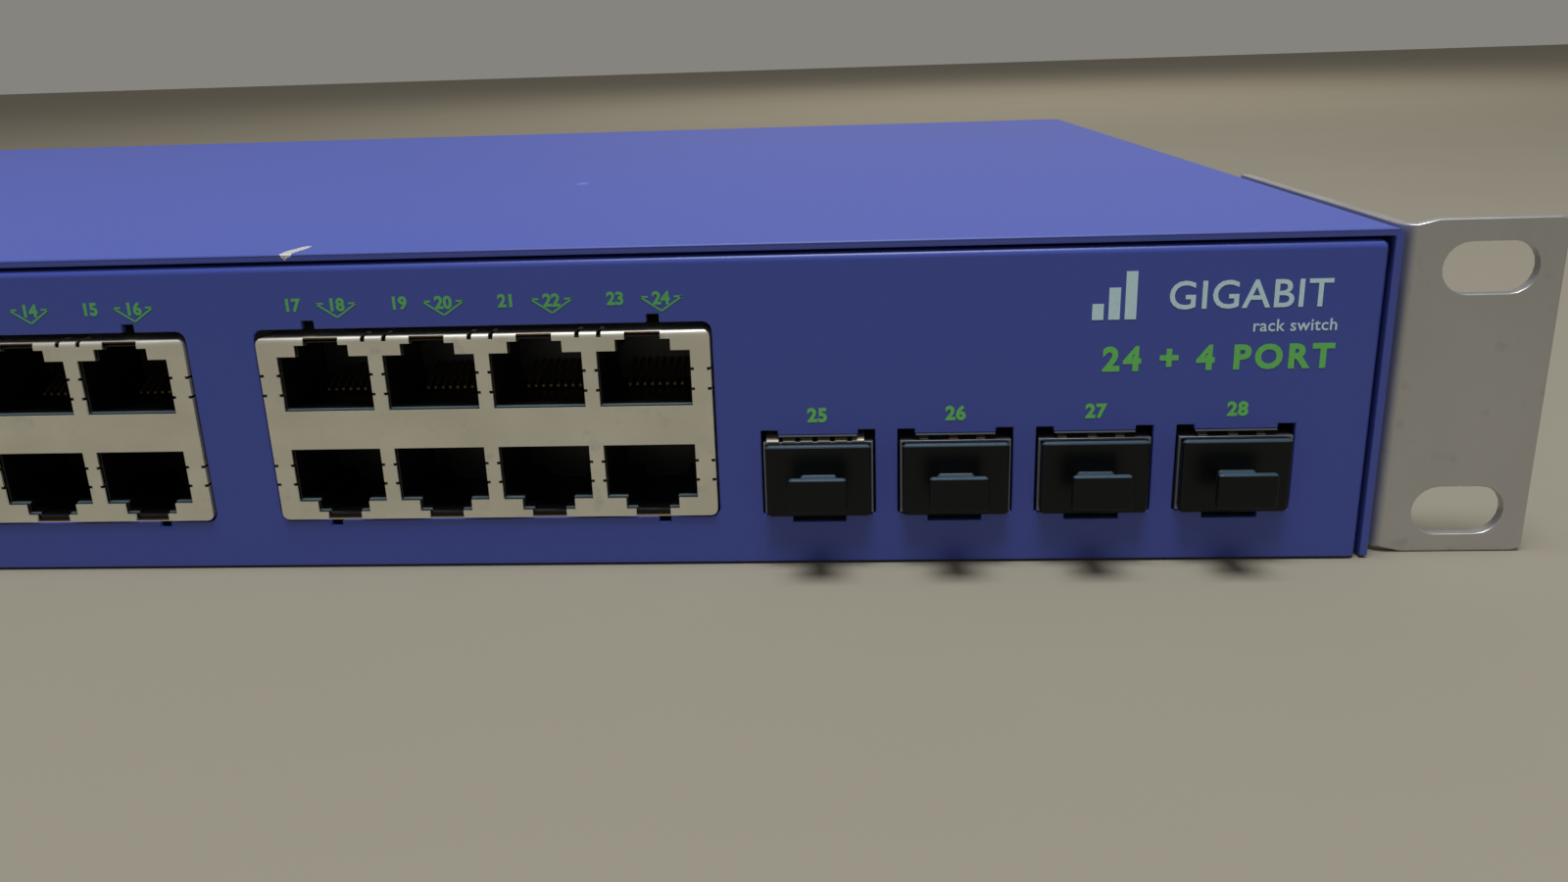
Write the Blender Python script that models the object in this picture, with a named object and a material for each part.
"""Rackmount network switch, one rack unit high, built as an assembly of separate pieces.

Every length below is in millimetres, measured in the case's own terms: X runs across the front
from the middle of the case, Y runs back from the front panel's face, and Z runs up from the
surface that the case stands on. place() turns them into metres, with the origin under the middle
of the whole object.
"""

import math

import bmesh
import bpy
from mathutils import Matrix, Vector

MM = 0.001
GAP = 0.3

# Case
BODY_HALF = 220.9
DEPTH = 256.0
HEIGHT = 42.95
SHEET = 1.0
COVER_RADIUS = 1.2
COVER_FRONT = 0.2
LIP_BOTTOM = 34.0
PANEL_HALF = 219.35
PANEL_BOTTOM = 0.3
PANEL_TOP = 41.55
PANEL_RADIUS = 1.1
PANEL_BEND = 0.95
PANEL_FLANGE = 8.0
PAN_UPSTAND = 8.0
REAR_WALL = DEPTH - SHEET - GAP

# Rack ears
EAR_SHEET = 1.6
EAR_EDGE = 241.3
EAR_FACE = 2.2
EAR_LEG_END = 68.0
EAR_BEND = 2.6
EAR_INNER = BODY_HALF + 0.6
EAR_STEP = ((223.2, 0.6), (225.8, 0.0))
EAR_CORNER = 1.2
EAR_LOW = 0.05
EAR_HIGH = 43.55
SLOT_X = 232.55
SLOT_MIDDLE_Z = 21.6
SLOT_SPACING = 31.75
SLOT_LENGTH = 11.6
SLOT_WIDTH = 6.5
EAR_SCREW_Y = (14.0, 56.0)
EAR_SCREW_Z = (12.0, 32.0)

# Ganged jacks: three blocks, each with four columns of two jacks
BLOCK_X = (-30.9, 37.85, 106.6)
BLOCK_HALF = 29.55
BLOCK_LOW = 7.15
BLOCK_HIGH = 32.2
BLOCK_FRONT = -0.3
BLOCK_DEPTH = 25.0
BLOCK_CORNER = 0.9
BLOCK_BEND = 0.6
COLUMNS = 4
COLUMN_PITCH = 13.97
SHIELD_WALL = 0.3
MOUTH_HALF = 6.03
MOUTH_HEIGHT = 7.4
STEP_HALF = 3.55
STEP_HEIGHT = 8.9
LATCH_HALF = 2.3
LATCH_HEIGHT = 9.8
UPPER_MOUTH = 22.25
LOWER_MOUTH = 17.05
TAB_NOTCHES = (2.25, 4.9)
TAB_NOTCH = 0.4
CAVITY_DEPTH = 14.0
CAVITY_INSET = 0.18
CAVITY_LATCH = 9.1
CUTOUT_MARGIN = 0.3
CUTOUT_TOP = BLOCK_HIGH + 1.0
CUTOUT_NOTCH_X = 22.4
CUTOUT_NOTCH_HALF = 0.8
CUTOUT_NOTCH_TOP = 1.1
CUTOUT_NOTCH_BOTTOM = 0.85

# Pluggable-module cages and their dust plugs
MODULE_X = tuple(149.6 + 17.7 * index for index in range(4))
MODULE_NUMBERS = (25, 26, 27, 28)
CAGE_HALF = 7.1
CAGE_LOW = 7.3
CAGE_HIGH = 17.1
CAGE_WALL = 0.3
CAGE_FRONT = -0.3
CAGE_END = 47.0
MODULE_CUT_HALF = 7.4
MODULE_CUT_LOW = 7.0
MODULE_CUT_HIGH = 18.0
MODULE_NOTCH = 2.2
MODULE_NOTCH_TOP = 18.6
MODULE_RELIEF_HALF = 3.5
MODULE_RELIEF_LOW = 6.0
PLUG_HEAD_FACE = -1.6
PLUG_GRIP_FACE = -6.8

# Management group at the left of the front panel
CONSOLE_X = -100.0
CONSOLE_HALF = 8.0
CONSOLE_HIGH = 20.65
CONSOLE_MOUTH = 18.4
USB_X = -124.0
USB_HALF = 6.6
USB_HIGH = 13.15
BUTTON_X = -140.0
BUTTON_Z = 11.4
BUTTON_RADIUS = 2.3
BUTTON_TRAVEL = 0.8
LAMP_COLUMNS = 15
LAMP_PITCH = 4.0
LAMP_FIRST_X = -208.0
LAMP_ROWS_Z = (12.0, 17.0)
LAMP_RADIUS = 0.9

# Boards and what stands on them
BOARD_LOW = 5.25
BOARD_HIGH = 6.85
BOARD_TOP = BOARD_HIGH + GAP
MAIN_BOARD = (-214.0, 3.0, 214.0, 150.0)
POWER_BOARD = (-214.0, 160.0, -90.0, 234.0)

# Mains inlet and the rear wall
INLET_X = -175.0
INLET_Z = 20.5
INLET_FACE = DEPTH + 1.4
INLET_HALF = 13.5
INLET_HALF_HEIGHT = 10.1
INLET_FLANGE_HALF = 15.5
INLET_FLANGE_HALF_HEIGHT = 12.1
GROUND_X = -140.0
GROUND_Z = 12.0
COVER_SCREW_X = 190.0
COVER_SCREW_Z = 38.4

MIDDLE_Y = (INLET_FACE + PLUG_GRIP_FACE) / 2

# Colour, roughness and metallic value of each finish
FINISHES = {
    "violet_paint": ((0.085, 0.085, 0.36), 0.42, 0.0),
    "zinc_plate": ((0.42, 0.42, 0.41), 0.38, 0.9),
    "nickel_plate": ((0.52, 0.48, 0.40), 0.42, 0.85),
    "bright_screw": ((0.55, 0.55, 0.56), 0.3, 0.95),
    "black_plastic": ((0.012, 0.012, 0.013), 0.45, 0.0),
    "black_rubber": ((0.014, 0.017, 0.018), 0.55, 0.0),
    "board_green": ((0.02, 0.11, 0.04), 0.4, 0.0),
    "chip_black": ((0.02, 0.02, 0.022), 0.35, 0.0),
    "aluminium": ((0.62, 0.63, 0.65), 0.35, 0.95),
    "clear_plastic": ((0.75, 0.78, 0.78), 0.15, 0.0),
    "white_plastic": ((0.7, 0.7, 0.66), 0.45, 0.0),
    "transformer_tape": ((0.62, 0.45, 0.06), 0.5, 0.0),
    "copper_winding": ((0.55, 0.22, 0.08), 0.35, 0.8),
    "capacitor_sleeve": ((0.02, 0.03, 0.08), 0.35, 0.0),
    "brass_pin": ((0.6, 0.45, 0.2), 0.3, 0.95),
    "cable_jacket": ((0.35, 0.02, 0.02), 0.45, 0.0),
}


# ---------------------------------------------------------------- shape tools

def clear_scene():
    """Remove every object of the scene."""
    for item in list(bpy.data.objects):
        bpy.data.objects.remove(item, do_unlink=True)


def box(bm, low, high):
    """Add a closed box between two opposite corners."""
    size = [b - a for a, b in zip(low, high)]
    centre = [(a + b) / 2 for a, b in zip(low, high)]
    matrix = Matrix.Translation(centre) @ Matrix.Diagonal((*size, 1.0))
    bmesh.ops.create_cube(bm, size=1.0, matrix=matrix)


def on_plane(axis, point, along):
    """Put a flat point on the plane that is square to an axis, at a distance along it."""
    a, b = point
    return {"X": (along, a, b), "Y": (a, along, b), "Z": (a, b, along)}[axis]


def loft(bm, rings):
    """Add a closed solid through rings of equally many points, capped at both ends."""
    loops = [[bm.verts.new(point) for point in ring] for ring in rings]
    faces = [bm.faces.new(loops[0]), bm.faces.new(loops[-1])]
    for near, far in zip(loops, loops[1:]):
        for i, vert in enumerate(near):
            j = (i + 1) % len(near)
            faces.append(bm.faces.new((vert, near[j], far[j], far[i])))
    bmesh.ops.recalc_face_normals(bm, faces=faces)


def prism(bm, outline, axis, start, end):
    """Add a closed prism: a flat outline drawn out along an axis from start to end."""
    loft(bm, [[on_plane(axis, point, along) for point in outline] for along in (start, end)])


def circle(centre, radius, sides):
    """Return a circle's outline about a flat centre."""
    turn = 2 * math.pi / sides
    return [(centre[0] + radius * math.cos((i + 0.5) * turn),
             centre[1] + radius * math.sin((i + 0.5) * turn)) for i in range(sides)]


def turned(bm, centre, axis, profile, sides=16):
    """Add a turned solid: profile lists (distance along the axis, radius) from end to end."""
    loft(bm, [[on_plane(axis, point, along) for point in circle(centre, radius, sides)]
              for along, radius in profile])


def coil(bm, centre, radius, half_width, half_height, turns=16, sides=6):
    """Add a closed ring about an upright axis, with a rounded section."""
    rings = []
    for step in range(turns):
        angle = 2 * math.pi * step / turns
        ring = []
        for u, v in circle((0, 0), 1.0, sides):
            reach = radius + half_width * u
            ring.append(bm.verts.new((centre[0] + reach * math.cos(angle),
                                      centre[1] + reach * math.sin(angle),
                                      centre[2] + half_height * v)))
        rings.append(ring)
    for ring, following in zip(rings, rings[1:] + rings[:1]):
        for i, vert in enumerate(ring):
            j = (i + 1) % sides
            bm.faces.new((vert, ring[j], following[j], following[i]))
    bmesh.ops.recalc_face_normals(bm, faces=bm.faces[:])


def arc(centre, radius, start, end, steps):
    """Return points on an arc about a flat centre, angles in degrees, both ends included."""
    angles = [math.radians(start + (end - start) * i / steps) for i in range(steps + 1)]
    return [(centre[0] + radius * math.cos(a), centre[1] + radius * math.sin(a)) for a in angles]


def rounded_rectangle(left, right, low, high, radius, steps=3):
    """Return a rectangle's outline with rounded corners."""
    corners = ((right - radius, high - radius, 0), (left + radius, high - radius, 90),
               (left + radius, low + radius, 180), (right - radius, low + radius, 270))
    points = []
    for x, z, start in corners:
        points += arc((x, z), radius, start, start + 90, steps)
    return points


def mirrored(half_outline, centre):
    """Complete an outline from its right half, given from the bottom up, about a centre line."""
    right = [(centre + x, z) for x, z in half_outline]
    left = [(centre - x, z) for x, z in reversed(half_outline)]
    return right + left


# ---------------------------------------------------------------- objects

def finish_material(name):
    """Return the named finish as a material, made on first use."""
    material = bpy.data.materials.get(name)
    if material is None:
        colour, roughness, metallic = FINISHES[name]
        material = bpy.data.materials.new(name)
        material.use_nodes = True
        shader = material.node_tree.nodes["Principled BSDF"]
        shader.inputs["Base Color"].default_value = (*colour, 1.0)
        shader.inputs["Roughness"].default_value = roughness
        shader.inputs["Metallic"].default_value = metallic
    return material


def to_object(name, bm, origin):
    """Turn a mesh in millimetres into an object in metres whose origin is at the given point."""
    bm.transform(Matrix.Scale(MM, 4) @ Matrix.Translation(-Vector(origin)))
    mesh = bpy.data.meshes.new(name)
    bm.to_mesh(mesh)
    bm.free()
    item = bpy.data.objects.new(name, mesh)
    item.location = (Vector(origin) - Vector((0, MIDDLE_Y, 0))) * MM
    bpy.context.scene.collection.objects.link(item)
    return item


def combine(piece, operation, bm):
    """Join a mesh in millimetres to a piece, or cut it from the piece."""
    label = f"{operation.lower()}_{len(piece.modifiers) + 1}"
    tool = to_object(f"{piece.name}_{label}", bm, Vector(piece["origin_mm"]))
    tool.hide_render = True
    tool.display_type = "WIRE"
    tool.parent = piece.parent
    modifier = piece.modifiers.new(label, "BOOLEAN")
    modifier.operation = operation
    modifier.solver = "EXACT"
    modifier.object = tool


def place(name, finish, bm, origin=(0, 0, 0), smooth=False):
    """Make one piece of the object from a mesh in millimetres and return it."""
    piece = to_object(name, bm, origin)
    piece["origin_mm"] = [float(value) for value in origin]
    piece.data.materials.append(finish_material(finish))
    piece.parent = bpy.data.objects["switch_frame"]
    if smooth:
        piece.data.shade_smooth()
        piece.data.set_sharp_from_angle(angle=math.radians(35))
    return piece


# ---------------------------------------------------------------- case

def jack_outline(centre, base, up, half=MOUTH_HALF, latch=LATCH_HEIGHT, inset=0.0, notched=True):
    """Return a jack's mouth: a wide part for the plug and two narrower steps for its latch."""
    points = [(half, inset)]
    if notched:
        for height in TAB_NOTCHES:
            low, high = height - TAB_NOTCH / 2, height + TAB_NOTCH / 2
            points += [(half, low), (half + TAB_NOTCH, low), (half + TAB_NOTCH, high), (half, high)]
    points += [(half, MOUTH_HEIGHT - inset), (STEP_HALF - inset, MOUTH_HEIGHT - inset),
               (STEP_HALF - inset, STEP_HEIGHT - inset), (LATCH_HALF - inset, STEP_HEIGHT - inset),
               (LATCH_HALF - inset, latch)]
    return mirrored([(x, base + up * z) for x, z in points], centre)


def columns(block_x):
    """Return the X of each column of jacks in a block."""
    first = block_x - COLUMN_PITCH * (COLUMNS - 1) / 2
    return [first + COLUMN_PITCH * index for index in range(COLUMNS)]


def block_cutout(block_x):
    """Return the front panel's cut-out for a block, with its four locating notches."""
    half = BLOCK_HALF + CUTOUT_MARGIN
    low, high = BLOCK_LOW - CUTOUT_MARGIN, CUTOUT_TOP
    radius = BLOCK_CORNER + CUTOUT_MARGIN
    inner, outer = CUTOUT_NOTCH_X - CUTOUT_NOTCH_HALF, CUTOUT_NOTCH_X + CUTOUT_NOTCH_HALF
    below, above = low - CUTOUT_NOTCH_BOTTOM, high + CUTOUT_NOTCH_TOP
    right = [(inner, low), (inner, below), (outer, below), (outer, low)]
    right += arc((half - radius, low + radius), radius, -90, 0, 3)
    right += arc((half - radius, high - radius), radius, 0, 90, 3)
    right += [(outer, high), (outer, above), (inner, above), (inner, high)]
    return mirrored(right, block_x)


def module_cutout(centre):
    """Return the front panel's cut-out for a module cage."""
    low, high = MODULE_CUT_LOW, MODULE_CUT_HIGH
    notch = MODULE_CUT_HALF - MODULE_NOTCH
    right = [(MODULE_RELIEF_HALF, MODULE_RELIEF_LOW), (MODULE_RELIEF_HALF, low),
             (MODULE_CUT_HALF, low), (MODULE_CUT_HALF, MODULE_NOTCH_TOP),
             (notch, MODULE_NOTCH_TOP), (notch, high)]
    return mirrored(right, centre)


def lamp_positions():
    """Return the flat place of each status lamp on the front panel."""
    return [(LAMP_FIRST_X + LAMP_PITCH * column, z)
            for column in range(LAMP_COLUMNS) for z in LAMP_ROWS_Z]


def make_front_panel():
    """Make the folded front panel: a face with returns at its top and both sides."""
    bm = bmesh.new()
    right = [(PANEL_HALF, PANEL_BOTTOM)]
    right += arc((PANEL_HALF - PANEL_RADIUS, PANEL_TOP - PANEL_RADIUS), PANEL_RADIUS, 0, 90, 3)
    outline = mirrored(right, 0)
    rings = []
    for y, drop in [*arc((PANEL_BEND, PANEL_BEND), PANEL_BEND, 180, 270, 4), (PANEL_FLANGE, 0.0)]:
        ring = [(x * (PANEL_HALF - drop) / PANEL_HALF, z) for x, z in outline]
        rings.append([on_plane("Y", (x, min(z, PANEL_TOP - drop)), y) for x, z in ring])
    loft(bm, rings)

    inner = PANEL_HALF - SHEET
    hollow = [(PANEL_HALF + 5, -5), (PANEL_HALF + 5, SHEET + GAP), (inner, SHEET + GAP),
              (inner, PANEL_TOP - SHEET)]
    cuts = bmesh.new()
    prism(cuts, mirrored(hollow, 0), "Y", SHEET, PANEL_FLANGE + 5)
    panel = place("front_panel", "violet_paint", bm)
    combine(panel, "DIFFERENCE", cuts)

    holes = bmesh.new()
    through = (-3.0, SHEET + 2.0)
    for block_x in BLOCK_X:
        prism(holes, block_cutout(block_x), "Y", *through)
    for centre in MODULE_X:
        prism(holes, module_cutout(centre), "Y", *through)
    console = CONSOLE_HALF + CUTOUT_MARGIN
    box(holes, (CONSOLE_X - console, through[0], BLOCK_LOW - CUTOUT_MARGIN),
        (CONSOLE_X + console, through[1], CONSOLE_HIGH + CUTOUT_MARGIN))
    usb = USB_HALF + CUTOUT_MARGIN
    box(holes, (USB_X - usb, through[0], BLOCK_LOW - CUTOUT_MARGIN),
        (USB_X + usb, through[1], USB_HIGH + CUTOUT_MARGIN))
    prism(holes, circle((BUTTON_X, BUTTON_Z), BUTTON_RADIUS + GAP, 16), "Y", *through)
    for lamp in lamp_positions():
        prism(holes, circle(lamp, LAMP_RADIUS + GAP, 8), "Y", *through)
    combine(panel, "DIFFERENCE", holes)


def make_chassis_pan():
    """Make the pan: the floor, the rear wall and a low upstand along each side."""
    half = BODY_HALF - SHEET - GAP
    front = SHEET + GAP
    bm = bmesh.new()
    box(bm, (-half, front, 0), (half, REAR_WALL, HEIGHT - SHEET - GAP))
    cuts = bmesh.new()
    inner_back = REAR_WALL - SHEET
    profile = [(half - SHEET, SHEET), (half - SHEET, PAN_UPSTAND), (half + 5, PAN_UPSTAND),
               (half + 5, HEIGHT + 5)]
    prism(cuts, mirrored(profile, 0), "Y", front - 5, inner_back)
    pan = place("chassis_pan", "violet_paint", bm)
    combine(pan, "DIFFERENCE", cuts)

    holes = bmesh.new()
    through = (inner_back - 2, REAR_WALL + 2)
    corner = PANEL_FLANGE + GAP
    for side in (-1, 1):
        low_x, high_x = sorted((side * (half - 2 * SHEET), side * (half + 4)))
        box(holes, (low_x, front - 4, SHEET), (high_x, corner, PAN_UPSTAND + 4))
        prism(holes, circle((side * COVER_SCREW_X, COVER_SCREW_Z), 1.9, 12), "Y", *through)
    box(holes, (INLET_X - INLET_HALF - GAP, through[0], INLET_Z - INLET_HALF_HEIGHT - GAP),
        (INLET_X + INLET_HALF + GAP, through[1], INLET_Z + INLET_HALF_HEIGHT + GAP))
    prism(holes, circle((GROUND_X, GROUND_Z), 2.2, 12), "Y", *through)
    for index in range(14):
        x = 60.0 + 9.0 * index
        box(holes, (x, through[0], 12.0), (x + 3.5, through[1], 28.0))
    combine(pan, "DIFFERENCE", holes)


def make_top_cover():
    """Make the cover: a top with both sides folded down, and a lip over the rear wall."""
    outer = COVER_RADIUS
    inner = max(outer - SHEET, 0.1)
    low = PANEL_BOTTOM
    corner = (BODY_HALF - outer, HEIGHT - outer)
    right = [(BODY_HALF, low)] + arc(corner, outer, 0, 90, 3)
    left = [(-x, z) for x, z in reversed(right)]
    inside_right = arc((BODY_HALF - SHEET - inner, HEIGHT - SHEET - inner), inner, 90, 0, 2)
    inside_right.append((BODY_HALF - SHEET, low))
    inside_left = [(-x, z) for x, z in reversed(inside_right)]
    bm = bmesh.new()
    prism(bm, right + left + inside_left + inside_right, "Y", COVER_FRONT, DEPTH)

    lip = bmesh.new()
    box(lip, (-BODY_HALF + SHEET / 2, DEPTH - SHEET, LIP_BOTTOM),
        (BODY_HALF - SHEET / 2, DEPTH - 0.001, HEIGHT - SHEET / 2))
    cuts = bmesh.new()
    for side in (-1, 1):
        wall = sorted((side * (BODY_HALF - 3), side * (BODY_HALF + 3)))
        for y in EAR_SCREW_Y:
            for z in EAR_SCREW_Z:
                prism(cuts, circle((y, z), 2.3, 12), "X", *wall)
        for index in range(19):
            y = 84.0 + 8.0 * index
            box(cuts, (wall[0], y, 11.0), (wall[1], y + 3.2, 31.0))
        prism(cuts, circle((side * COVER_SCREW_X, COVER_SCREW_Z), 1.9, 12), "Y",
              DEPTH - SHEET - 0.15, DEPTH + 2)
    cover = place("top_cover", "violet_paint", bm)
    combine(cover, "UNION", lip)
    combine(cover, "DIFFERENCE", cuts)


def make_rack_ear(name, side):
    """Make an ear: a leg along the case's side and a slotted face that the rack screws hold."""
    inner = EAR_INNER
    leg_outer = inner + EAR_SHEET
    back = EAR_FACE + EAR_SHEET
    concave = EAR_BEND - EAR_SHEET
    bend = (inner + EAR_BEND, EAR_FACE + EAR_BEND)
    outline = arc(bend, EAR_BEND, 180, 270, 5)
    outline += [(EAR_EDGE, EAR_FACE), (EAR_EDGE, back)]
    outline += arc(bend, concave, 270, 180, 3)
    outline += [(leg_outer, EAR_LEG_END), (inner, EAR_LEG_END)]
    bm = bmesh.new()
    prism(bm, [(side * x, y) for x, y in outline], "Z", EAR_LOW, EAR_HIGH)

    cuts = bmesh.new()
    half = SLOT_LENGTH / 2
    for z in (SLOT_MIDDLE_Z - SLOT_SPACING / 2, SLOT_MIDDLE_Z + SLOT_SPACING / 2):
        slot = rounded_rectangle(side * SLOT_X - half, side * SLOT_X + half, z - SLOT_WIDTH / 2,
                                 z + SLOT_WIDTH / 2, SLOT_WIDTH / 2 - 0.01, 5)
        prism(cuts, slot, "Y", EAR_FACE - 1, back + 1)
    for top in (False, True):
        edge, away = (EAR_HIGH, 1) if top else (EAR_LOW, -1)
        round_centre = (EAR_EDGE - EAR_CORNER, edge - away * EAR_CORNER)
        start, end = (0, 90) if top else (0, -90)
        corner = arc(round_centre, EAR_CORNER, start, end, 4)
        corner += [(EAR_EDGE - EAR_CORNER, edge + away * 2), (EAR_EDGE + 2, edge + away * 2),
                   (EAR_EDGE + 2, round_centre[1])]
        prism(cuts, [(side * x, z) for x, z in corner], "Y", EAR_FACE - 1.5, back + 1.5)
        (near, drop), (far, _) = EAR_STEP
        step = [(inner - 2, edge + away * 2), (inner - 2, edge - away * drop),
                (near, edge - away * drop), (far, edge), (far, edge + away * 2)]
        prism(cuts, [(side * x, z) for x, z in step], "Y", EAR_FACE - 1, EAR_LEG_END + 1)
    for y in EAR_SCREW_Y:
        for z in EAR_SCREW_Z:
            profile = ((side * (inner - 1), 2.3), (side * (leg_outer - 1.3), 2.3),
                       (side * (leg_outer + 0.4), 4.4))
            turned(cuts, (y, z), "X", profile, 16)
    ear = place(name, "zinc_plate", bm)
    combine(ear, "DIFFERENCE", cuts)


def cross_recess(bm, centre, axis, face, depth, arm, width):
    """Add the cutter of a cross recess, sunk into a screw's head from its face."""
    a, b = arm / 2, width / 2
    corners = [(a, -b), (a, b), (b, b), (b, a), (-b, a), (-b, b),
               (-a, b), (-a, -b), (-b, -b), (-b, -a), (b, -a), (b, -b)]
    outline = [(centre[0] + x, centre[1] + z) for x, z in corners]
    prism(bm, outline, axis, face - depth, face + depth)


def make_ear_screws(side_name, side):
    """Make the four countersunk screws that hold an ear to the case's side."""
    outer = EAR_INNER + EAR_SHEET
    number = 1
    for y in EAR_SCREW_Y:
        for z in EAR_SCREW_Z:
            bm = bmesh.new()
            profile = ((side * (outer - 8.0), 1.6), (side * (outer - 7.6), 1.95),
                       (side * (outer - 1.45), 1.95), (side * (outer - 0.1), 3.55),
                       (side * outer, 3.4))
            turned(bm, (y, z), "X", profile, 16)
            cuts = bmesh.new()
            cross_recess(cuts, (y, z), "X", side * outer, 0.9, 3.6, 0.8)
            screw = place(f"ear_screw_{side_name}_{number}", "bright_screw", bm, smooth=True)
            combine(screw, "DIFFERENCE", cuts)
            number += 1


def make_rear_screw(name, centre, seat, head_height, head_radius, length):
    """Make a pan-head screw that enters the rear wall from behind."""
    bm = bmesh.new()
    face = seat + head_height
    profile = ((seat - length, 1.2), (seat - length + 0.4, 1.5), (seat, 1.5),
               (seat, head_radius), (face - 0.4, head_radius), (face, head_radius - 0.6))
    turned(bm, centre, "Y", profile, 16)
    cuts = bmesh.new()
    cross_recess(cuts, centre, "Y", face, 0.8, 3.4, 0.8)
    screw = place(name, "bright_screw", bm, smooth=True)
    combine(screw, "DIFFERENCE", cuts)


# ---------------------------------------------------------------- jacks

def make_jack_block(number, block_x):
    """Make a block's plated shield and the black insulator inside it."""
    left, right = block_x - BLOCK_HALF, block_x + BLOCK_HALF
    front, back = BLOCK_FRONT, BLOCK_FRONT + BLOCK_DEPTH
    bm = bmesh.new()
    outline = rounded_rectangle(left, right, BLOCK_LOW, BLOCK_HIGH, BLOCK_CORNER)
    prism(bm, outline, "Y", front, back)
    inside = bmesh.new()
    wall = SHIELD_WALL
    hollow = rounded_rectangle(left + wall, right - wall, BLOCK_LOW - 5, BLOCK_HIGH - wall,
                               BLOCK_CORNER - wall)
    prism(inside, hollow, "Y", front + wall, back - wall)
    shield = place(f"jack_shield_{number}", "nickel_plate", bm)
    combine(shield, "DIFFERENCE", inside)

    bend = bmesh.new()
    profile = arc((front + BLOCK_BEND, BLOCK_HIGH - BLOCK_BEND), BLOCK_BEND, 90, 180, 3)
    profile += [(front - 1, BLOCK_HIGH - BLOCK_BEND), (front - 1, BLOCK_HIGH + 1),
                (front + BLOCK_BEND, BLOCK_HIGH + 1)]
    prism(bend, profile, "X", left - 1, right + 1)
    combine(shield, "DIFFERENCE", bend)

    mouths = bmesh.new()
    cavities = bmesh.new()
    through = (front - 1, front + 1.4 * wall)
    for x in columns(block_x):
        for base, up in ((UPPER_MOUTH, 1), (LOWER_MOUTH, -1)):
            prism(mouths, jack_outline(x, base, up), "Y", *through)
            cavity = jack_outline(x, base, up, MOUTH_HALF - CAVITY_INSET,
                                  CAVITY_LATCH, CAVITY_INSET, notched=False)
            prism(cavities, cavity, "Y", front - 1, CAVITY_DEPTH)
    for index in range(COLUMNS - 1):
        between = (columns(block_x)[index] + columns(block_x)[index + 1]) / 2
        for offset in (-1.4, 1.4):
            x = between + offset
            box(mouths, (x - 0.3, front - 1, BLOCK_HIGH - 0.75),
                (x + 0.3, front + 3.0, BLOCK_HIGH + 1))
    for base, up in ((UPPER_MOUTH, 1), (LOWER_MOUTH, -1)):
        for height in TAB_NOTCHES:
            z = base + up * height
            for edge, inward in ((left, 1), (right, -1)):
                low_x, high_x = sorted((edge - inward, edge + inward * 0.5))
                box(mouths, (low_x, front - 1, z - 0.2), (high_x, front + 3.0, z + 0.2))
    combine(shield, "DIFFERENCE", mouths)

    clear = wall + GAP
    bm = bmesh.new()
    box(bm, (left + clear, front + clear + 0.05, BLOCK_LOW),
        (right - clear, back - clear, BLOCK_HIGH - clear))
    housing = place(f"jack_housing_{number}", "black_plastic", bm)
    combine(housing, "DIFFERENCE", cavities)


def make_console_jack():
    """Make the single management jack: a plated shield and its insulator."""
    wall = SHIELD_WALL
    left, right = CONSOLE_X - CONSOLE_HALF, CONSOLE_X + CONSOLE_HALF
    front, back = BLOCK_FRONT, 21.0
    bm = bmesh.new()
    box(bm, (left, front, BLOCK_LOW), (right, back, CONSOLE_HIGH))
    shield = place("console_shield", "nickel_plate", bm)
    inside = bmesh.new()
    box(inside, (left + wall, front + wall, BLOCK_LOW - 5),
        (right - wall, back - wall, CONSOLE_HIGH - wall))
    combine(shield, "DIFFERENCE", inside)
    mouth = bmesh.new()
    prism(mouth, jack_outline(CONSOLE_X, CONSOLE_MOUTH, -1), "Y", front - 1, front + 1.4 * wall)
    combine(shield, "DIFFERENCE", mouth)

    clear = wall + GAP
    bm = bmesh.new()
    box(bm, (left + clear, front + clear + 0.05, BLOCK_LOW),
        (right - clear, back - clear, CONSOLE_HIGH - clear))
    housing = place("console_housing", "black_plastic", bm)
    cavity = bmesh.new()
    outline = jack_outline(CONSOLE_X, CONSOLE_MOUTH, -1, MOUTH_HALF - CAVITY_INSET,
                           CAVITY_LATCH, CAVITY_INSET, notched=False)
    prism(cavity, outline, "Y", front - 1, CAVITY_DEPTH)
    combine(housing, "DIFFERENCE", cavity)


def make_usb_socket():
    """Make the USB socket: a folded shell and the tongue inside it."""
    wall = 0.35
    front, back = -0.4, 14.0
    bm = bmesh.new()
    box(bm, (USB_X - USB_HALF, front, BLOCK_LOW), (USB_X + USB_HALF, back, USB_HIGH))
    shell = place("usb_shell", "nickel_plate", bm)
    cavity = bmesh.new()
    box(cavity, (USB_X - USB_HALF + wall, front - 1, BLOCK_LOW + wall),
        (USB_X + USB_HALF - wall, back - wall, USB_HIGH - wall))
    combine(shell, "DIFFERENCE", cavity)
    bm = bmesh.new()
    box(bm, (USB_X - 5.6, 1.6, USB_HIGH - 2.55), (USB_X + 5.6, back - wall - GAP, USB_HIGH - 0.75))
    place("usb_tongue", "white_plastic", bm)


# ---------------------------------------------------------------- module cages

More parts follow.
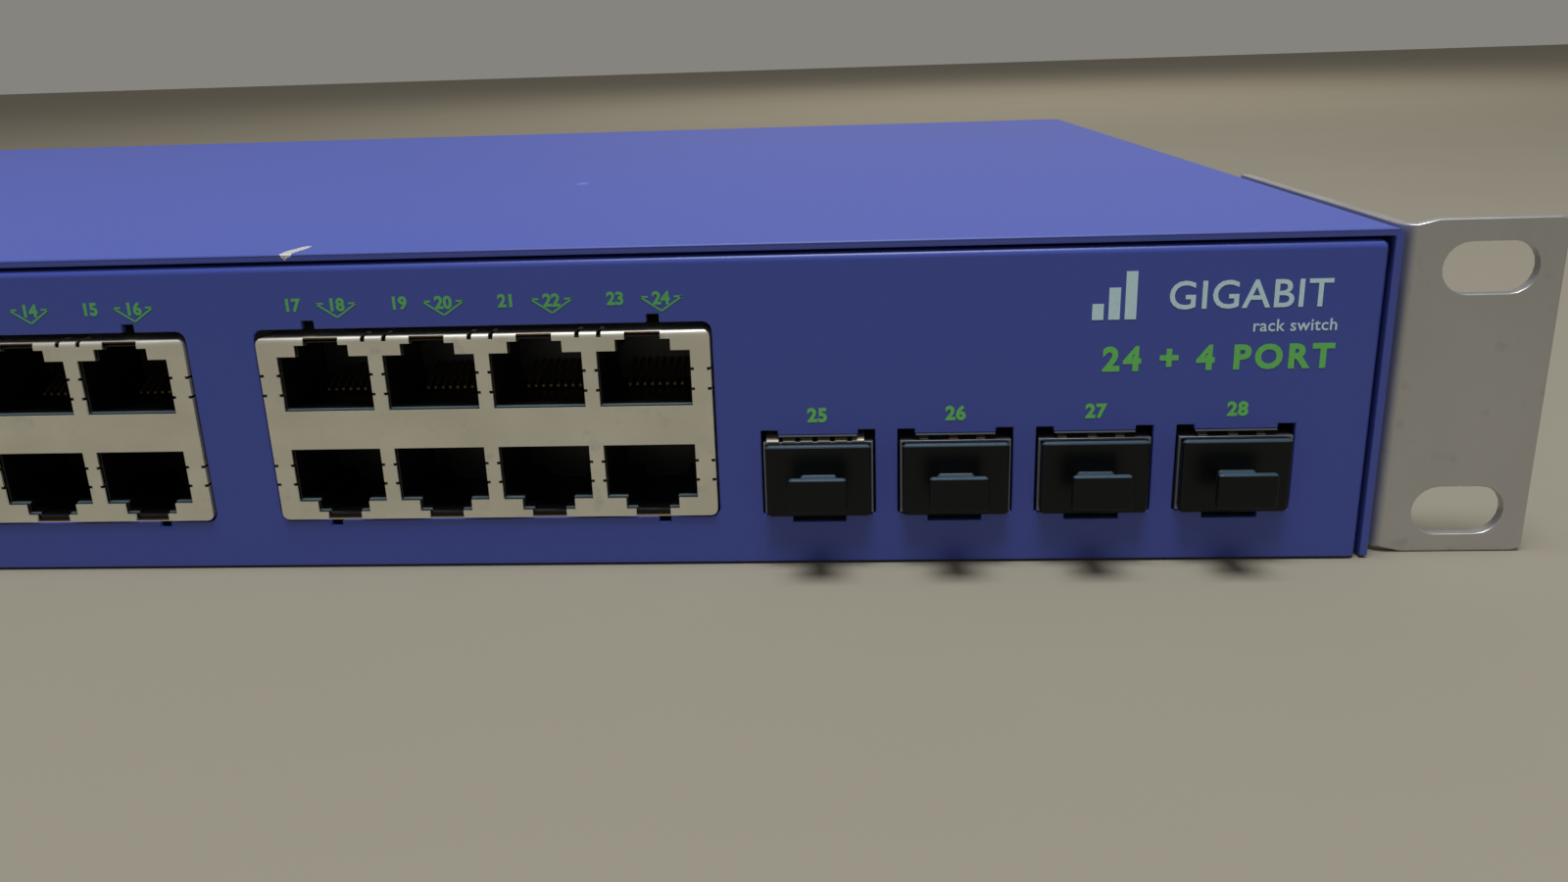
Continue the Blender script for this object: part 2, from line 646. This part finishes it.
def make_module_cage(number, centre):
    """Make a cage of thin sheet, open at the front and over its connector."""
    bm = bmesh.new()
    box(bm, (centre - CAGE_HALF, CAGE_FRONT, CAGE_LOW), (centre + CAGE_HALF, CAGE_END, CAGE_HIGH))
    cage = place(f"module_cage_{number}", "nickel_plate", bm)
    inner = CAGE_HALF - CAGE_WALL
    cavity = bmesh.new()
    box(cavity, (centre - inner, CAGE_FRONT - 1, CAGE_LOW + CAGE_WALL),
        (centre + inner, CAGE_END - CAGE_WALL, CAGE_HIGH - CAGE_WALL))
    combine(cage, "DIFFERENCE", cavity)
    window = bmesh.new()
    box(window, (centre - 5.7, 33.0, CAGE_LOW - 1), (centre + 5.7, 45.0, CAGE_LOW + 1))
    combine(cage, "DIFFERENCE", window)

    bm = bmesh.new()
    box(bm, (centre - 5.4, 33.4, BOARD_TOP), (centre + 5.4, 44.6, 13.4))
    connector = place(f"module_connector_{number}", "black_plastic", bm)
    slot = bmesh.new()
    box(slot, (centre - 4.6, 32.0, 9.8), (centre + 4.6, 40.0, 11.2))
    combine(connector, "DIFFERENCE", slot)


def make_dust_plug(number, centre):
    """Make a rubber plug: a block in the cage, a head in front of it and a grip to pull."""
    inner = CAGE_HALF - CAGE_WALL - GAP
    seat = CAGE_FRONT - GAP
    low, high = CAGE_LOW + CAGE_WALL + GAP, CAGE_HIGH - CAGE_WALL - GAP
    stages = (
        (16.0, inner - 0.5, low + 0.5, high - 0.5, 0.6),
        (15.5, inner, low, high, 0.6),
        (seat, inner, low, high, 0.6),
        (seat, 6.85, 7.2, 16.95, 0.5),
        (PLUG_HEAD_FACE + 0.25, 6.85, 7.2, 16.95, 0.5),
        (PLUG_HEAD_FACE, 6.6, 7.45, 16.7, 0.5),
        (PLUG_HEAD_FACE, 2.3, 10.8, 12.95, 0.3),
        (PLUG_GRIP_FACE + 0.9, 2.3, 10.8, 12.95, 0.3),
        (PLUG_GRIP_FACE + 0.9, 3.73, 9.55, 14.15, 0.5),
        (PLUG_GRIP_FACE + 0.25, 3.73, 9.55, 14.15, 0.5),
        (PLUG_GRIP_FACE, 3.48, 9.8, 13.9, 0.5),
    )
    rings = []
    for y, half, bottom, top, radius in stages:
        outline = rounded_rectangle(centre - half, centre + half, bottom, top, radius, 2)
        rings.append([on_plane("Y", point, y) for point in outline])
    bm = bmesh.new()
    loft(bm, rings)
    place(f"dust_plug_{number}", "black_rubber", bm, origin=(centre, seat, (low + high) / 2))


# ---------------------------------------------------------------- button and lamps

def make_mode_button():
    """Make the mode button, which slides back through the panel, and the switch it presses."""
    bm = bmesh.new()
    profile = ((-1.3, 1.9), (-1.0, BUTTON_RADIUS), (SHEET + GAP, BUTTON_RADIUS),
               (SHEET + GAP, 3.4), (SHEET + GAP + 0.9, 3.4), (SHEET + GAP + 0.9, 1.3), (6.0, 1.3))
    turned(bm, (BUTTON_X, BUTTON_Z), "Y", profile, 16)
    place("mode_button", "black_plastic", bm, origin=(BUTTON_X, 0, BUTTON_Z), smooth=True)

    front = 6.0 + BUTTON_TRAVEL + 0.2
    bm = bmesh.new()
    box(bm, (BUTTON_X - 3.0, front + 0.8, BOARD_TOP), (BUTTON_X + 3.0, front + 4.3, BUTTON_Z + 3.0))
    switch = place("mode_switch", "chip_black", bm)
    plunger = bmesh.new()
    prism(plunger, circle((BUTTON_X, BUTTON_Z), 1.7, 12), "Y", front, front + 1.5)
    combine(switch, "UNION", plunger)


def make_light_pipe():
    """Make the clear bar whose pins carry the lamps' light through the front panel."""
    bm = bmesh.new()
    ends = [LAMP_FIRST_X - 2.5, LAMP_FIRST_X + LAMP_PITCH * (LAMP_COLUMNS - 1) + 2.5]
    box(bm, (ends[0], SHEET + GAP + 0.5, BOARD_TOP), (ends[1], 6.0, LAMP_ROWS_Z[-1] + 2.0))
    bar = place("light_pipe", "clear_plastic", bm)
    pins = bmesh.new()
    for lamp in lamp_positions():
        turned(pins, lamp, "Y", ((-0.2, LAMP_RADIUS), (3.0, LAMP_RADIUS)), 6)
    combine(bar, "UNION", pins)


# ---------------------------------------------------------------- boards

def make_boards():
    """Make the two boards and the standoffs under the main one."""
    for name, corners in (("main_board", MAIN_BOARD), ("power_board", POWER_BOARD)):
        left, front, right, back = corners
        bm = bmesh.new()
        box(bm, (left, front, BOARD_LOW), (right, back, BOARD_HIGH))
        place(name, "board_green", bm)
    left, front, right, back = MAIN_BOARD
    number = 1
    for x in (left + 8.0, right - 8.0):
        for y in (front + 32.0, back - 8.0):
            bm = bmesh.new()
            turned(bm, (x, y), "Z", ((SHEET + GAP, 3.0), (BOARD_LOW - GAP, 3.0)), 6)
            place(f"board_standoff_{number}", "bright_screw", bm)
            number += 1


def comb_outline(centre, half, low, base, top, fins):
    """Return a heat sink's section: a base plate with evenly spaced fins on it."""
    pitch = 2 * half / (fins - 0.5)
    points = [(centre - half, low), (centre + half, low)]
    for index in range(fins):
        right = centre + half - index * pitch
        left = right - pitch / 2
        points += [(right, top), (left, top)]
        if index < fins - 1:
            points += [(left, low + base), (left - pitch / 2, low + base)]
    return points


def make_main_chips():
    """Make the switching chip with its heat sink, and the two port chips."""
    chip_top = BOARD_TOP + 2.4
    bm = bmesh.new()
    box(bm, (44.5, 72.5, BOARD_TOP), (75.5, 103.5, chip_top))
    place("switch_chip", "chip_black", bm)
    bm = bmesh.new()
    prism(bm, comb_outline(60.0, 26.0, chip_top + GAP, 3.0, chip_top + 18.0, 12), "Y", 62.0, 114.0)
    place("heat_sink", "aluminium", bm)
    for number, x in enumerate((-30.0, 130.0), start=1):
        bm = bmesh.new()
        box(bm, (x - 9.0, 44.0, BOARD_TOP), (x + 9.0, 62.0, BOARD_TOP + 1.4))
        place(f"port_chip_{number}", "chip_black", bm)


def make_power_supply():
    """Make the parts of the power supply that stand on its board."""
    floor = BOARD_TOP
    bm = bmesh.new()
    box(bm, (-140.0, 186.0, floor), (-112.0, 198.0, floor + 26.0))
    transformer = place("power_transformer", "transformer_tape", bm)
    winding = bmesh.new()
    box(winding, (-136.0, 180.0, floor + 3.0), (-116.0, 204.0, floor + 23.0))
    combine(transformer, "UNION", winding)

    bm = bmesh.new()
    profile = ((floor, 10.4), (floor + 0.8, 11.0), (floor + 29.2, 11.0), (floor + 30.0, 10.2))
    turned(bm, (-176.0, 190.0), "Z", profile, 20)
    place("bulk_capacitor", "capacitor_sleeve", bm, smooth=True)

    bm = bmesh.new()
    coil(bm, (-200.0, 206.0, floor + 6.0), 8.0, 3.4, 5.6)
    place("line_choke", "copper_winding", bm, smooth=True)

    bm = bmesh.new()
    outline = [(-160.0, 170.0), (-116.0, 170.0), (-116.0, 171.8), (-120.0, 171.8)]
    for index in range(5):
        x = -124.0 - 7.0 * index
        outline += [(x + 1.0, 171.8), (x + 1.0, 176.0), (x - 1.0, 176.0), (x - 1.0, 171.8)]
    outline += [(-160.0, 171.8)]
    prism(bm, outline, "Z", floor, floor + 24.0)
    place("power_heat_sink", "aluminium", bm)


def make_mains_inlet():
    """Make the mains inlet in the rear wall, with its three pins."""
    wall_low, wall_high = INLET_Z - INLET_HALF_HEIGHT, INLET_Z + INLET_HALF_HEIGHT
    low, high = INLET_Z - INLET_FLANGE_HALF_HEIGHT, INLET_Z + INLET_FLANGE_HALF_HEIGHT
    seat = REAR_WALL + GAP
    stages = ((237.0, INLET_HALF, wall_low, wall_high, 1.0),
              (seat, INLET_HALF, wall_low, wall_high, 1.0),
              (seat, INLET_FLANGE_HALF, low, high, 2.0),
              (INLET_FACE - 0.5, INLET_FLANGE_HALF, low, high, 2.0),
              (INLET_FACE, INLET_FLANGE_HALF - 0.5, low + 0.5, high - 0.5, 2.0))
    rings = []
    for y, half, bottom, top, radius in stages:
        outline = rounded_rectangle(INLET_X - half, INLET_X + half, bottom, top, radius, 2)
        rings.append([on_plane("Y", point, y) for point in outline])
    bm = bmesh.new()
    loft(bm, rings)
    inlet = place("mains_inlet", "black_plastic", bm)

    half_width, half_height, chamfer = 12.0, 8.1, 4.0
    right = [(half_width, INLET_Z - half_height), (half_width, INLET_Z + half_height - chamfer),
             (half_width - chamfer, INLET_Z + half_height)]
    cavity = bmesh.new()
    prism(cavity, mirrored(right, INLET_X), "Y", INLET_FACE - 16.9, INLET_FACE + 2)
    combine(inlet, "DIFFERENCE", cavity)

    pins = (("line", -7.0, INLET_Z - 2.0), ("neutral", 7.0, INLET_Z - 2.0),
            ("earth", 0.0, INLET_Z + 2.2))
    slots = bmesh.new()
    for label, offset, z in pins:
        x = INLET_X + offset
        box(slots, (x - 1.0 - GAP, 235.0, z - 2.0 - GAP), (x + 1.0 + GAP, 242.0, z + 2.0 + GAP))
        tip = INLET_FACE - (1.6 if label == "earth" else 3.0)
        outer = rounded_rectangle(x - 1.0, x + 1.0, z - 2.0, z + 2.0, 0.4, 1)
        point = rounded_rectangle(x - 0.5, x + 0.5, z - 1.4, z + 1.4, 0.3, 1)
        bm = bmesh.new()
        loft(bm, [[on_plane("Y", corner, y) for corner in ring]
                  for y, ring in ((234.6, outer), (tip - 1.2, outer), (tip, point))])
        place(f"inlet_pin_{label}", "brass_pin", bm)
    combine(inlet, "DIFFERENCE", slots)


def make_power_cable():
    """Make the short cable that arches from the power board to the main board."""
    start, end = Vector((-120.0, 164.0, BOARD_TOP + 1.6)), Vector((-112.0, 142.0, BOARD_TOP + 1.6))
    count = 15
    curve = bpy.data.curves.new("power_cable", "CURVE")
    curve.dimensions = "3D"
    curve.bevel_depth = 1.6 * MM
    curve.bevel_resolution = 2
    curve.use_fill_caps = True
    spline = curve.splines.new("POLY")
    spline.points.add(count - 1)
    for index, point in enumerate(spline.points):
        share = index / (count - 1)
        along = start.lerp(end, (1 - math.cos(math.pi * share)) / 2)
        lift = Vector((0, 0, 14.0 * math.sin(math.pi * share)))
        point.co = (*((along + lift) * MM), 1.0)
    cable = bpy.data.objects.new("power_cable", curve)
    cable.location = Vector((0, -MIDDLE_Y, 0)) * MM
    curve.materials.append(finish_material("cable_jacket"))
    cable.parent = bpy.data.objects["switch_frame"]
    bpy.context.scene.collection.objects.link(cable)


def main():
    """Build the whole switch."""
    clear_scene()
    frame = bpy.data.objects.new("switch_frame", None)
    bpy.context.scene.collection.objects.link(frame)
    make_chassis_pan()
    make_front_panel()
    make_top_cover()
    for side_name, side in (("left", -1), ("right", 1)):
        make_rack_ear(f"rack_ear_{side_name}", side)
        make_ear_screws(side_name, side)
    for number, side in ((1, -1), (2, 1)):
        make_rear_screw(f"cover_screw_{number}", (side * COVER_SCREW_X, COVER_SCREW_Z),
                        DEPTH + GAP, INLET_FACE - DEPTH - GAP, 3.2, 8.0)
    make_rear_screw("ground_screw", (GROUND_X, GROUND_Z), REAR_WALL + GAP, 2.2, 4.0, 9.0)
    for number, block_x in enumerate(BLOCK_X, start=1):
        make_jack_block(number, block_x)
    make_console_jack()
    make_usb_socket()
    for number, centre in zip(MODULE_NUMBERS, MODULE_X):
        make_module_cage(number, centre)
        make_dust_plug(number, centre)
    make_mode_button()
    make_light_pipe()
    make_boards()
    make_main_chips()
    make_power_supply()
    make_mains_inlet()
    make_power_cable()


if __name__ == "__main__":
    main()
